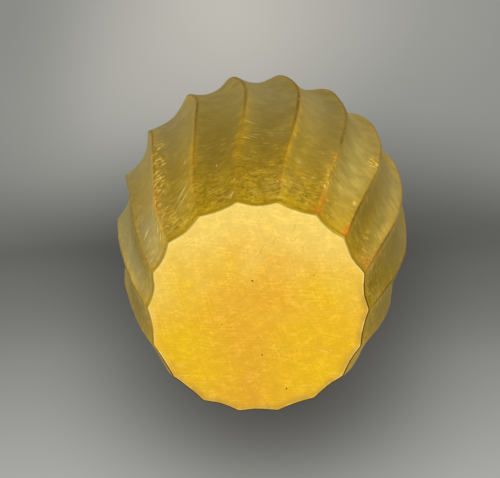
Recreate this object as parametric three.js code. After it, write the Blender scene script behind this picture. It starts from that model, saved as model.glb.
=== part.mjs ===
// A vase raised from copper sheet, with twisted flutes that run from the foot to the lip.
// Millimetres, +Z up, with the origin on the axis where the base plate stands on the table.
import * as THREE from 'three';

// Radii outside, on the ridge lines between the flutes
const FOOT_RADIUS = 38;
const BELLY_RADIUS = 62.5;
const THROAT_RADIUS = 30;
const LIP_RADIUS = 36;

// Heights, each one stacked on the one before
const PLATE_THICKNESS = 1.6;
const BELLY_RISE = 110.4; // from the base plate to the widest place
const SHOULDER_RISE = 61; // from there to the throat
const LIP_RISE = 17; // from the throat to the top edge of the sheet

// The sheet and what is joined to it
const SHEET_THICKNESS = 1.6;
const WIRE_WIDTH = 3.2;
const WIRE_HEIGHT = 2.2;
const FILLET_LEG = 2.5;
const FILLET_CLEARANCE = 0.3;

// Flutes: how far the bottom of a flute lies inside the ridge line, and how the ridges turn
const FLUTE_COUNT = 18;
const FOOT_FLUTE_DEPTH = 1.15;
const BELLY_FLUTE_DEPTH = 4.2;
const LIP_FLUTE_DEPTH = 2;
const RIDGE_LEAN = THREE.MathUtils.degToRad(4.2); // turn up to the crest of the S
const RIDGE_SWEEP = THREE.MathUtils.degToRad(18); // turn the other way, up to the throat
const RIDGE_CREST_RISE = 75.4; // from the base plate to where the turn changes side

// How steeply the wall leaves the base and ends at the lip, from upright
const FOOT_FLARE = THREE.MathUtils.degToRad(21);
const LIP_FLARE = THREE.MathUtils.degToRad(38);

// Fullness of the profile: each handle as a share of the rise that it shapes
const FOOT_HANDLE = 0.34;
const BELLY_HANDLE = 0.27;
const SHOULDER_HANDLE = 0.53;
const THROAT_HANDLE = 0.34;
const LIP_HANDLE = 0.35;

// Fineness of the facets
const FLUTE_STEPS = 6;
const BELLY_BANDS = 9;
const SHOULDER_BANDS = 7;
const LIP_BANDS = 3;
const WIRE_STEPS = 6;

// Heights and radii that follow
const seamHeight = PLATE_THICKNESS;
const seamRadius = FOOT_RADIUS + PLATE_THICKNESS * Math.tan(FOOT_FLARE);
const bellyHeight = seamHeight + BELLY_RISE;
const throatHeight = bellyHeight + SHOULDER_RISE;
const topHeight = throatHeight + LIP_RISE;
const crestHeight = seamHeight + RIDGE_CREST_RISE;
const pitch = (2 * Math.PI) / FLUTE_COUNT;

// The profile of the ridge lines, as (radius, height), in three stretches that run into
// one another smoothly: foot to belly, belly to throat, throat to lip.
const footHandle = FOOT_HANDLE * BELLY_RISE;
const lipHandle = LIP_HANDLE * LIP_RISE;
const bellyStretch = new THREE.CubicBezierCurve(
  new THREE.Vector2(seamRadius, seamHeight),
  new THREE.Vector2(seamRadius + footHandle * Math.tan(FOOT_FLARE), seamHeight + footHandle),
  new THREE.Vector2(BELLY_RADIUS, bellyHeight - BELLY_HANDLE * BELLY_RISE),
  new THREE.Vector2(BELLY_RADIUS, bellyHeight),
);
const shoulderStretch = new THREE.CubicBezierCurve(
  new THREE.Vector2(BELLY_RADIUS, bellyHeight),
  new THREE.Vector2(BELLY_RADIUS, bellyHeight + SHOULDER_HANDLE * SHOULDER_RISE),
  new THREE.Vector2(THROAT_RADIUS, throatHeight - THROAT_HANDLE * SHOULDER_RISE),
  new THREE.Vector2(THROAT_RADIUS, throatHeight),
);
const lipStretch = new THREE.CubicBezierCurve(
  new THREE.Vector2(THROAT_RADIUS, throatHeight),
  new THREE.Vector2(THROAT_RADIUS, throatHeight + lipHandle),
  new THREE.Vector2(LIP_RADIUS - lipHandle * Math.tan(LIP_FLARE), topHeight - lipHandle),
  new THREE.Vector2(LIP_RADIUS, topHeight),
);

// Turn of the ridge lines at a height: forward up to the crest, then back to the throat.
function ridgeTurn(height) {
  const lean = THREE.MathUtils.smootherstep(height, 0, crestHeight);
  const sweep = THREE.MathUtils.smootherstep(height, crestHeight, throatHeight);
  return RIDGE_LEAN * lean - RIDGE_SWEEP * sweep;
}

// Depth of the flutes at a height: shallow at the foot, deepest at the belly.
function fluteDepth(height) {
  const rise = THREE.MathUtils.smoothstep(height, seamHeight, bellyHeight);
  const fall = THREE.MathUtils.smoothstep(height, bellyHeight, throatHeight);
  const belly = THREE.MathUtils.lerp(FOOT_FLUTE_DEPTH, BELLY_FLUTE_DEPTH, rise);
  return THREE.MathUtils.lerp(belly, LIP_FLUTE_DEPTH, fall);
}

// One level of the wall: its height, the radius of the ridges and how fast that grows.
function level(radius, height, growth) {
  return { radius, height, growth, depth: fluteDepth(height), turn: ridgeTurn(height) };
}

// The levels along one stretch of the profile, evenly spaced along its length.
function levelsAlong(stretch, bands) {
  return Array.from({ length: bands + 1 }, (_, band) => {
    const place = stretch.getPointAt(band / bands);
    const slope = stretch.getTangentAt(band / bands);
    return level(place.x, place.y, slope.x / slope.y);
  });
}

// A closed ring of points round one level. Across each flute the radius follows a parabola
// from ridge to ridge. The thickness is taken square to the sheet: along the radius it
// grows with the slope across the flute and with the slope up the wall.
function ring(at, thickness) {
  const points = [];
  for (let flute = 0; flute < FLUTE_COUNT; flute += 1) {
    for (let step = 0; step < FLUTE_STEPS; step += 1) {
      const across = (2 * step) / FLUTE_STEPS - 1;
      const outside = at.radius - at.depth * (1 - across * across);
      const fluteSlope = (4 * at.depth * across) / pitch / outside;
      const stretch = Math.hypot(1, fluteSlope, at.growth);
      const radius = outside - thickness * stretch;
      const angle = pitch * (flute + step / FLUTE_STEPS) + at.turn;
      points.push(new THREE.Vector3(
        radius * Math.cos(angle),
        radius * Math.sin(angle),
        at.height,
      ));
    }
  }
  return points;
}

// The same ring moved outwards along the radius, and up.
function shifted(points, outwards, upwards) {
  return points.map((point) => {
    const radius = Math.hypot(point.x, point.y);
    const scale = (radius + outwards) / radius;
    return new THREE.Vector3(point.x * scale, point.y * scale, point.z + upwards);
  });
}

// A ring that lies between two others, at a share of the way from the first to the second.
function between(first, second, share) {
  return first.map((point, index) => point.clone().lerp(second[index], share));
}

// The two triangles of each quad between one ring and the next.
function band(count, from, to) {
  const indices = [];
  for (let near = 0; near < count; near += 1) {
    const far = (near + 1) % count;
    indices.push(from + near, from + far, to + far);
    indices.push(from + near, to + far, to + near);
  }
  return indices;
}

function geometryOf(points, indices) {
  const geometry = new THREE.BufferGeometry().setFromPoints(points);
  geometry.setIndex(indices);
  geometry.computeVertexNormals();
  return geometry;
}

// A body that runs round the axis: its rings go up the outside and down the inside, and
// the last one joins the first.
function roundBody(rings) {
  const count = rings[0].length;
  const indices = rings.flatMap((_, index) => {
    const next = (index + 1) % rings.length;
    return band(count, index * count, next * count);
  });
  return geometryOf(rings.flat(), indices);
}

// A flat plate between two rings, with each face closed to a point on the axis.
function plateBody(underside, top) {
  const count = underside.length;
  const undersideCentre = 2 * count;
  const topCentre = undersideCentre + 1;
  const indices = band(count, 0, count);
  for (let near = 0; near < count; near += 1) {
    const far = (near + 1) % count;
    indices.push(undersideCentre, far, near);
    indices.push(topCentre, count + near, count + far);
  }
  const centres = [underside, top].map((points) => new THREE.Vector3(0, 0, points[0].z));
  return geometryOf([...underside, ...top, ...centres], indices);
}

// The levels of the sheet, from the seam with the base plate to the top edge
const levels = [
  ...levelsAlong(bellyStretch, BELLY_BANDS),
  ...levelsAlong(shoulderStretch, SHOULDER_BANDS).slice(1),
  ...levelsAlong(lipStretch, LIP_BANDS).slice(1),
];
const outsideRings = levels.map((at) => ring(at, 0));
const insideRings = levels.map((at) => ring(at, SHEET_THICKNESS));

// The wall: one raised sheet, fluted inside as it is outside, cut flat at both ends.
function makeBody() {
  return roundBody([...outsideRings, ...insideRings.slice().reverse()]);
}

// The base plate: its scalloped edge is filed flush with the wall that stands on it.
function makeBasePlate() {
  const underside = level(FOOT_RADIUS, 0, Math.tan(FOOT_FLARE));
  return plateBody(ring(underside, 0), outsideRings[0]);
}

// The fillet of hard solder that runs round the inside corner and holds the plate.
function makeFootBraze() {
  const [low, high] = insideRings;
  const share = FILLET_LEG / (levels[1].height - levels[0].height);
  const atWall = shifted(low, -FILLET_CLEARANCE, 0);
  const upWall = shifted(between(low, high, share), -FILLET_CLEARANCE, 0);
  const hollow = shifted(between(atWall, upWall, 0.3), -0.3 * FILLET_LEG, 0);
  const onPlate = shifted(atWall, -FILLET_LEG, 0);
  return roundBody([atWall, upWall, hollow, onPlate]);
}

// The half-round wire on the top edge of the sheet, over the middle of its thickness.
function makeRimWire() {
  const edge = between(outsideRings.at(-1), insideRings.at(-1), 0.5);
  const rings = Array.from({ length: WIRE_STEPS + 1 }, (_, step) => {
    const angle = (Math.PI * step) / WIRE_STEPS;
    return shifted(edge, (WIRE_WIDTH / 2) * Math.cos(angle), WIRE_HEIGHT * Math.sin(angle));
  });
  return roundBody(rings);
}

function metal(color, roughness) {
  return new THREE.MeshStandardMaterial({ color, roughness, metalness: 1, flatShading: true });
}

// Each piece has its own origin on the axis, at the height where it is seated.
function piece(name, geometry, material, seat) {
  geometry.translate(0, 0, -seat);
  const mesh = new THREE.Mesh(geometry, material);
  mesh.name = name;
  mesh.position.z = seat;
  return mesh;
}

const oliveGold = metal(0x9a8136, 0.4);
const satinGold = metal(0xe6b850, 0.35);
const solder = metal(0xb5a06a, 0.5);

const vase = new THREE.Group();
vase.add(piece('base_plate', makeBasePlate(), satinGold, 0));
vase.add(piece('fluted_body', makeBody(), oliveGold, seamHeight));
vase.add(piece('foot_braze', makeFootBraze(), solder, seamHeight));
vase.add(piece('rim_wire', makeRimWire(), oliveGold, topHeight));

export default vase;
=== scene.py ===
import functools
import math

import bpy
import numpy as np
from mathutils import Matrix, Vector


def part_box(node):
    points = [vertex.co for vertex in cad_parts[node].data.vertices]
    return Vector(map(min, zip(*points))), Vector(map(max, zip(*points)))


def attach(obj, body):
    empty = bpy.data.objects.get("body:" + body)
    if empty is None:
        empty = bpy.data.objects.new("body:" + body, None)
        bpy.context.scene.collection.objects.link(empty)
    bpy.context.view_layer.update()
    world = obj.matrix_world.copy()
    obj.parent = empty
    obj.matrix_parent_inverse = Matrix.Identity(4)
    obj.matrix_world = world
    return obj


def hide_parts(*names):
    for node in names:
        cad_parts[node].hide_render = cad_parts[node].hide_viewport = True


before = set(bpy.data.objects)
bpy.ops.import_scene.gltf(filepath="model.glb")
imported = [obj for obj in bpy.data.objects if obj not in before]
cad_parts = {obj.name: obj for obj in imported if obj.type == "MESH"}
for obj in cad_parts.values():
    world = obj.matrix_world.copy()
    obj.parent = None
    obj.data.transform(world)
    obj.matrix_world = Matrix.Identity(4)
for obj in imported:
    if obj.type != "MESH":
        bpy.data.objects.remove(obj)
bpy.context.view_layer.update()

bl_info = {
    "name": "Fluted copper vase",
    "version": (1, 0, 0),
    "blender": (4, 5, 0),
    "location": "View3D > Sidebar > Vase",
    "description": "A raised copper vase with twisted flutes and a gold finish",
    "category": "Object",
}

MM = 0.001
PLATE_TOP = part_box("base_plate")[1][2]
WALL_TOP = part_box("fluted_body")[1][2]
WIRE_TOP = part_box("rim_wire")[1][2]
FLUTES = 18
PITCH = 2 * math.pi / FLUTES

# Metres to a flute, where marks and grains are laid out on the wall
FLUTE_WIDTH = 0.0155

# Fullness of the profile: each handle as a share of the rise that it shapes
FOOT_HANDLE = 0.34
BELLY_HANDLE = 0.27
SHOULDER_HANDLE = 0.53
THROAT_HANDLE = 0.34
LIP_HANDLE = 0.35

# Fineness: rows along the three stretches of the profile, columns in a flute, rings of the
# base plate (first and last share of its radius, and count), rows round the solder and wire
OUTSIDE_ROWS = (84, 48, 14)
INSIDE_ROWS = (30, 18, 6)
COLUMNS = 24
SOLDER_COLUMNS = 16
PLATE_RINGS = (0.04, 0.97, 24)
SOLDER_STEPS = 7
WIRE_STEPS = 17
CURVE_SAMPLES = 401
SHARP_ANGLE = math.radians(25)

# Tint of the gold's mirror light at a grazing angle
GOLD_SHEEN = (1.0, 0.88, 0.54, 1.0)

# Ridges that the maker set off their even places: number, degrees at the foot and at the
# belly, and the heights between which the one runs into the other
STRAYS = (
    (1, 0.7, 0.7), (3, -0.6, -0.6), (5, 0.5, 0.5), (6, -0.4, -0.4), (9, 1.0, 0.5),
    (10, 0.8, -2.0), (11, -1.4, -1.4), (12, 0.0, 1.3), (13, 0.0, 0.6), (14, 0.4, 1.0),
    (15, 0.5, 1.2), (16, -0.8, 0.6),
)
STRAYS_FROM = 0.062
STRAYS_TO = 0.102

# Height above which the hammered sheet strays in full, the side on which the flutes are
# deepest in radians, and the bevel's height as a share of its width
FULL_WANDER = 0.02
DEEP_SIDE = 4
BEVEL_SHAPE = 0.6

# How far the foot stands out beyond its smooth round, in tenths of a millimetre: at each
# ridge, and in the middle of the flute after it
FOOT_STRAYS = (
    (6, 5), (5, 4), (5, 2), (2, 2), (4, 3), (6, 5), (9, 8), (5, 9), (8, 7),
    (6, 2), (7, 5), (5, -1), (1, 2), (3, -3), (1, 1), (1, -2), (-1, -4), (5, 1),
)

# Spots on the wall: bare, rubbed and drawn are wear; warm spots feed the ridge band, partly
# worn gilding and partly painted highlight; pale spots are partly painted light, grey spots
# partly a painted reflection, dark spots partly painted shade, gleam spots painted highlights,
# and edge spots strengthen the painted shade line on the ridge tops; dull, rich and smooth
# change tone and texture. Each is a place round the vase in flutes, height in millimetres,
# reach in flutes, reach in millimetres, strength. The whole numbers of flutes are ridges.
WEAR_AND_PAINTED_LIGHT = {
    "bare": (
        (15.03, 4, 0.1, 4.5, 1), (15.07, 11, 0.07, 5, 1), (14.92, 3, 0.14, 2, 0.9),
        (15.96, 4.5, 0.09, 4, 1), (16.86, 5, 0.2, 4.5, 0.6), (17, 14, 0.06, 5, 0.6),
        (15, 43, 0.08, 3, 0.4), (11.02, 28, 0.07, 10, 0.45), (4, 6, 0.07, 4, 0.9),
        (7.02, 12, 0.05, 5, 0.7),
    ),
    "rubbed": (
        (11.14, 70, 0.1, 7, 0.5), (11.13, 56, 0.1, 8, 0.9), (11.13, 42, 0.12, 10, 1),
        (11.03, 26, 0.1, 8, 0.7), (10.95, 10, 0.12, 6, 0.5), (15.02, 27, 0.08, 11, 0.75),
        (15.9, 66, 0.1, 6, 0.9), (15.68, 38, 0.05, 1.8, 1), (15.9, 24, 0.05, 2, 0.8),
        (16.55, 18, 0.07, 3, 0.8), (16.8, 6, 0.2, 5, 0.6), (3, 50, 0.1, 10, 0.7),
        (6.05, 35, 0.1, 8, 0.7),
    ),
    "warm": (
        (11.05, 50, 0.3, 35, 0.9), (12.08, 24, 0.26, 35, 0.9), (13.02, 30, 0.3, 35, 0.9),
        (13.98, 26, 0.3, 33, 0.9), (15.1, 12, 0.3, 10, 0.6), (15, 20, 0.2, 20, 0.5),
        (2, 40, 0.3, 30, 0.6), (4, 35, 0.3, 40, 0.9), (7, 30, 0.34, 40, 0.8),
    ),
    "edge": (
        (15, 62, 0.3, 19, 0.8), (16, 20, 0.3, 30, 0.7), (17, 30, 0.3, 35, 0.8),
        (11, 45, 0.3, 35, 0.6), (12, 80, 0.3, 30, 0.8), (14, 80, 0.3, 30, 0.9),
        (0, 35, 0.3, 50, 1), (9, 40, 0.3, 50, 0.8), (10, 40, 0.3, 50, 0.7),
        (5, 50, 0.3, 50, 0.8),
    ),
    "pale": (
        (15.48, 50, 0.47, 35, 1), (15.72, 38, 0.3, 22, 0.8), (16.8, 46, 0.26, 35, 1),
        (9.12, 50, 0.3, 30, 0.3), (10.6, 12, 0.35, 15, 0.7), (15.3, 48, 0.3, 35, 0.6),
        (5.5, 50, 0.4, 30, 0.6),
    ),
    "gleam": (
        (16.9, 30, 0.14, 30, 0.75), (16.86, 58, 0.18, 25, 0.5), (9.1, 28, 0.14, 16, 0.3),
        (8.5, 55, 0.18, 6, 0.3), (10.45, 10, 0.3, 8, 0.35), (11.3, 8, 0.35, 7, 0.3),
        (17.85, 10, 0.2, 8, 0.35), (17.05, 8, 0.12, 6, 0.35), (13.9, 9, 0.14, 6, 0.25),
        (3.1, 30, 0.14, 20, 0.4),
    ),
    "grey": (
        (10.38, 20, 0.5, 30, 0.9), (9.4, 50, 0.5, 50, 1), (8.6, 50, 0.6, 60, 0.5),
        (9.3, 56, 0.4, 20, 0.8), (9.75, 62, 0.3, 30, 1), (10.3, 88, 0.5, 30, 0.7),
        (11.35, 92, 0.5, 26, 0.4), (17.25, 78, 0.5, 25, 0.6), (13.5, 90, 0.5, 30, 0.35),
        (14.5, 90, 0.5, 30, 0.35),
    ),
    "dull": (
        (9.35, 65, 0.5, 45, 0.75),
    ),
    "rich": (
        (17.6, 10, 0.45, 22, 1), (10.06, 22, 0.12, 12, 0.4), (4.5, 14, 0.45, 20, 0.6),
    ),
    "drawn": (
        (17.45, 8, 0.45, 12, 0.45), (0.4, 10, 0.4, 14, 0.35),
    ),
    "smooth": (
        (15.65, 16, 0.4, 30, 0.8), (9.45, 16, 0.5, 25, 0.8), (10.5, 14, 0.5, 20, 0.7),
        (16.5, 16, 0.6, 30, 0.9), (17.5, 58, 0.6, 30, 0.8), (5.5, 16, 0.6, 30, 0.8),
    ),
    "dark": (
        (14.5, 36, 0.35, 25, 0.45), (16.4, 10, 0.3, 12, 0.3), (11.7, 30, 0.35, 40, 0.42),
        (16.18, 30, 0.24, 35, 0.8), (17.4, 45, 0.6, 45, 1), (0.5, 45, 0.6, 45, 1),
        (11.42, 45, 0.25, 25, 0.3), (12.5, 44, 0.4, 28, 0.7), (13.5, 50, 0.35, 25, 0.5),
        (9.82, 45, 0.28, 35, 0.9), (10.5, 60, 0.55, 45, 0.75), (10.78, 12, 0.2, 15, 0.35),
        (8.5, 30, 0.5, 35, 0.9), (11.86, 62, 0.2, 40, 0.5), (12.93, 34, 0.12, 30, 0.45),
        (13.91, 30, 0.12, 20, 0.45), (14.16, 44, 0.28, 30, 0.75), (14.35, 14, 0.28, 12, 0.35),
        (14.6, 72, 0.5, 30, 0.45), (11.4, 78, 0.5, 20, 0.3), (8, 3, 0.3, 8, 0.6),
        (7.5, 20, 0.5, 30, 1), (3.5, 40, 0.5, 30, 0.6),
    ),
}

# Scratches and pits on the wall, from one end to the other: each end as its place in flutes
# and its millimetres up the section, then the half width in millimetres
BRIGHT_SCRATCHES = (
    (11.96, 26.2, 11.38, 17.4, 0.26), (11.86, 24.8, 11.48, 19.6, 0.18),
    (11.84, 18.7, 11.56, 16.2, 0.3), (11.74, 17.4, 11.36, 14, 0.22),
    (11.5, 13.6, 11.2, 12.4, 0.3), (10.46, 24.6, 10.16, 20.4, 0.4),
    (10.84, 14.9, 10.74, 11.1, 0.5), (10.88, 9.5, 10.7, 6, 0.55),
    (12.52, 27.2, 12.53, 27.8, 0.4), (14.97, 26, 15, 26.6, 0.5), (14.97, 17.6, 15, 18.4, 0.5),
    (13.3, 56, 12.96, 56.6, 0.2), (13.36, 44, 13.12, 44.5, 0.2), (11.02, 45.2, 11.2, 47.8, 0.45),
    (11.04, 40.8, 11.2, 43.2, 0.4), (11.06, 33.4, 11.14, 34.2, 0.45),
    (10.94, 66, 11.02, 66.8, 0.6), (11.04, 14.6, 11.18, 17, 0.35),
    (11.14, 18.6, 11.3, 20.4, 0.3), (11.52, 3, 11.7, 3.4, 0.5), (13.76, 13.2, 13.64, 14.4, 0.28),
    (13.97, 10.4, 13.9, 12.2, 0.28), (12.86, 2, 12.94, 6.2, 0.26), (12.93, 11.6, 13, 13.2, 0.26),
    (13.14, 45.4, 13.44, 47.6, 0.14), (13.1, 27.2, 13.4, 27.5, 0.14),
)
WALL_PITS = (
    (14.64, 8.1, 14.68, 8.3, 0.45), (14.58, 8.6, 14.6, 8.6, 0.25),
)

# Clouds in the base's finish: x, y, reach along x, reach along y in millimetres, strength
CLOUDS = {
    "warm": (
        (-3, 31, 6, 13, 1), (-4, 12, 9, 13, 0.8), (-10, -4, 10, 12, 0.7), (4, -3, 10, 14, 0.8),
        (7, -19, 9, 9, 0.7), (-15, -15, 8, 8, 0.4), (-7.5, -21, 6, 7, 0.8),
        (-10, 29, 10, 6, 0.5), (17, -14.5, 6, 6, 0.4), (-23, 9, 10, 8, 0.3),
        (-2.5, -20, 8, 8, 0.3),
    ),
    "yellow": (
        (-26, 13, 10, 10, 0.9), (-19, 22, 8, 8, 0.8), (24, -6, 12, 8, 0.6), (15, 9, 10, 9, 0.6),
        (-26, -6, 10, 10, 0.6), (-12, -17, 10, 8, 0.4), (26, 10, 10, 12, 0.6),
        (20, 23, 12, 9, 0.9),
    ),
    "pale": (
        (10, -29, 12, 9, 0.7), (-19, -28, 12, 9, 0.8), (-32, -9, 5, 12, 0.5),
        (22, -25, 10, 9, 0.6), (19, -32, 12, 6, 0.6),
    ),
}

# Scratches and pits in the base, from x and y to x and y, with the half width, all in
# millimetres
DARK_HAIRS = (
    (-0.2, -19.2, 1.6, -20.9, 0.16), (12, -27.9, 13, -31.1, 0.18),
    (4.8, -23.1, 6.7, -26.6, 0.12), (0.8, -19.9, 2.6, -24.2, 0.16), (15, -21, 15.8, -23.5, 0.12),
)
LIGHT_HAIRS = (
    (-28.8, 24.4, -22.4, 24.3, 0.18), (19.2, 14.4, 25.2, 15.8, 0.16),
    (14.5, 28.2, 19, 27.9, 0.16), (-30, -1, -23, 3, 0.12), (-21, -24, -16, -20.5, 0.12),
)
BASE_PITS = (
    (-1.8, -10.6, -1.7, -10.5, 0.4), (1.2, 16.6, 1.4, 16.6, 0.35), (9.7, 29.4, 9.8, 29.3, 0.4),
    (19, -12.5, 19.1, -12.5, 0.25), (-12.5, 5.2, -12.4, 5.2, 0.22),
)


def length(description, default):
    """A size in metres for the sidebar."""
    return bpy.props.FloatProperty(
        description=description, default=default, unit="LENGTH", precision=5
    )


def angle(description, degrees):
    """An angle for the sidebar, given in degrees."""
    return bpy.props.FloatProperty(
        description=description, default=math.radians(degrees), subtype="ANGLE"
    )


def position(description, default):
    """A place for the sidebar, in metres."""
    return bpy.props.FloatVectorProperty(
        description=description, default=default, subtype="TRANSLATION", precision=5
    )


def colour(description, default):
    """A colour for the sidebar, as linear red, green and blue."""
    return bpy.props.FloatVectorProperty(
        description=description, default=default, size=3, subtype="COLOR", min=0.0, max=1.0
    )


def labelled(group):
    """Labels each property of a group after itself: foot_radius becomes Foot radius."""
    for name, made in group.__annotations__.items():
        made.keywords["name"] = name.replace("_", " ").capitalize()
    return group


@labelled
class VaseShape(bpy.types.PropertyGroup):
    """Sizes of the raised wall, the base plate, the solder and the lip wire."""

    foot_radius: length("Ridge line at the underside of the base", 0.038)
    belly_radius: length("Ridge line at the widest place", 0.0625)
    throat_radius: length("Ridge line at the narrowest place", 0.030)
    lip_radius: length("Ridge line at the top edge of the sheet", 0.036)
    belly_rise: length("From the base plate to the belly", 0.1104)
    shoulder_rise: length("From the belly to the throat", 0.061)
    sheet: length("Thickness of the raised wall", 0.0016)
    foot_depth: length("Depth of the flutes at the foot", 0.00115)
    belly_depth: length("Depth of the flutes at the belly", 0.0042)
    lip_depth: length("Depth of the flutes at the lip", 0.0020)
    crest_rise: length("Where the ridges change side", 0.0754)
    lean: angle("Turn of the ridges up to the crest", 4.2)
    sweep: angle("Turn the other way, up to the throat", 18.0)
    foot_flare: angle("Lean of the wall where it leaves the base", 21.0)
    lip_flare: angle("Lean of the wall at the lip", 38.0)
    depth_stray: length("How much the flutes' depth varies at the foot", 0.0002)
    out_of_round: length("How far the foot strays from a circle", 0.00056)
    stray_height: length("Where the foot's strays have faded out", 0.060)
    ridge_round: length("Half width of the rounded ridge", 0.00028)
    inner_round: length("Half width of the crease inside", 0.0009)
    seam: length("Width and depth of the chamfer at the base seam", 0.00016)
    burr: length("Bevel round the base plate's underside", 0.00040)
    unevenness: length("How far the hammered sheet wanders", 0.00012)
    wire_width: length("Across the half-round lip wire", 0.0032)
    fillet: length("Legs of the solder fillet inside the foot", 0.0026)


@labelled
class VaseFinish(bpy.types.PropertyGroup):
    """Colours of the brushed and lacquered metal, in linear light."""

    # Base light is also the painted sheen on the brush marks and the painted light of the halo at
    # one side of the base's edge
    base_light: colour("Paler gold at one side of the base", (0.88, 0.63, 0.14))
    base_deep: colour("Deep gold over the rest of the base", (0.82, 0.46, 0.026))
    base_warm: colour("Warmer clouds in the base", (0.80, 0.41, 0.032))
    base_yellow: colour("Yellower clouds in the base", (0.86, 0.54, 0.012))
    # Base rim is painted shade near the edge at one side of the base
    base_rim: colour("Duller gold near the base's edge", (0.60, 0.36, 0.05))
    wall_foot: colour("Saturated old gold near the foot", (0.59, 0.365, 0.010))
    wall_low: colour("Old gold above the foot", (0.42, 0.265, 0.025))
    # Wall high and wall belly are greyer partly as a painted reflection of the grey surroundings
    wall_high: colour("Olive gold below the belly", (0.36, 0.257, 0.053))
    wall_belly: colour("Greyer olive gold at the belly", (0.325, 0.24, 0.072))
    # Wall light, wall grey and wall dark are also the painted light, painted reflection and
    # painted shade of the wall's pale, grey and dark spots
    wall_light: colour("Paler clouds in the old gold", (0.47, 0.37, 0.10))
    wall_grey: colour("Greyer clouds in the old gold", (0.34, 0.30, 0.19))
    wall_brown: colour("Browner clouds in the old gold", (0.36, 0.215, 0.025))
    wall_dark: colour("Darkest old gold", (0.25, 0.17, 0.025))
    wall_dull: colour("Dark greenish gold", (0.18, 0.16, 0.05))
    wall_rich: colour("Deepest yellow in the low flutes", (0.35, 0.23, 0.004))
    # Ridge is the warm of worn gilding, and along the ridges also a painted highlight
    ridge: colour("Warm gold along the ridges", (0.56, 0.32, 0.016))
    # Fleck is also the painted highlight of the wall's gleam spots
    fleck: colour("Bright gold of rubbed spots and scratches", (0.90, 0.62, 0.11))
    copper: colour("Bare copper where the gold is worn off", (0.84, 0.24, 0.022))
    patina: colour("Brown in seams and pits and on the cut edge", (0.11, 0.062, 0.010))
    # Crest is painted shade: the line on the ridge tops and the line under the base's bevel
    crest: colour("Brown line along the top of a ridge", (0.16, 0.072, 0.012))
    # Burr is the pale gold of scratches and rubbed spots, and also the painted highlight on the
    # base's rim
    burr: colour("Rubbed rim round the base", (0.95, 0.77, 0.28))
    inner: colour("Copper sheet inside the vase", (0.52, 0.20, 0.085))
    inner_dark: colour("Oxide on the copper inside", (0.10, 0.048, 0.025))
    solder: colour("Dull silver solder", (0.50, 0.43, 0.24))


@labelled
class VaseStage(bpy.types.PropertyGroup):
    """The photograph's view, the floor, the background and the lamps."""

    lens: bpy.props.FloatProperty(
        description="Focal length for a sensor 36 mm wide", default=76.5
    )
    camera: position("Where the lens is", (0.00764, -0.13305, -0.33676))
    aim: position("Where its axis meets the table's level", (-0.00235, -0.02538, 0.0))
    roll: angle("Turn of the camera about its axis", -4.887)
    floor: colour("Pale grey paper", (0.72, 0.72, 0.70))
    pale: colour("Pale walls of the studio", (0.70, 0.70, 0.69))
    shade: colour("The walls that get less light", (0.62, 0.62, 0.61))
    horizon: colour("Where the floor sweeps up into the walls", (0.53, 0.53, 0.51))
    fill: colour("Even light that falls on the vase", (0.72, 0.72, 0.71))
    backdrop: colour("Grey backdrop behind the vase", (0.278, 0.281, 0.265))
    glow: colour("Where the lamp falls on the backdrop", (0.52, 0.50, 0.45))
    # Bend, slope and near paper are painted shade and light on the backdrop
    bend: colour("Dark bend of the backdrop", (0.088, 0.090, 0.083))
    slope: colour("The backdrop where it comes forward", (0.205, 0.208, 0.192))
    near_paper: colour("The backdrop near the lens", (0.46, 0.465, 0.44))
    contact: colour("The vase's soft shadow on the backdrop", (0.075, 0.07, 0.06))
    umbra: colour("The shadow close to the vase", (0.030, 0.028, 0.024))


# Shape of the vase

def bezier(points, t):
    """A cubic curve: (1-t)^3 p0 + 3(1-t)^2 t p1 + 3(1-t) t^2 p2 + t^3 p3, and its derivative."""
    p = np.array(points)
    t = t[:, None]
    place = (1 - t) ** 3 * p[0] + 3 * (1 - t) ** 2 * t * p[1]
    place = place + 3 * (1 - t) * t ** 2 * p[2] + t ** 3 * p[3]
    rate = (1 - t) ** 2 * (p[1] - p[0]) + 2 * (1 - t) * t * (p[2] - p[1]) + t ** 2 * (p[3] - p[2])
    return place, rate


def eased(x, low, high, smoother=False):
    """Rises from 0 at low to 1 at high: 3x^2-2x^3, or 6x^5-15x^4+10x^3 where smoother."""
    t = np.clip((x - low) / (high - low), 0, 1)
    return t ** 3 * (t * (6 * t - 15) + 10) if smoother else t * t * (3 - 2 * t)


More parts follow.
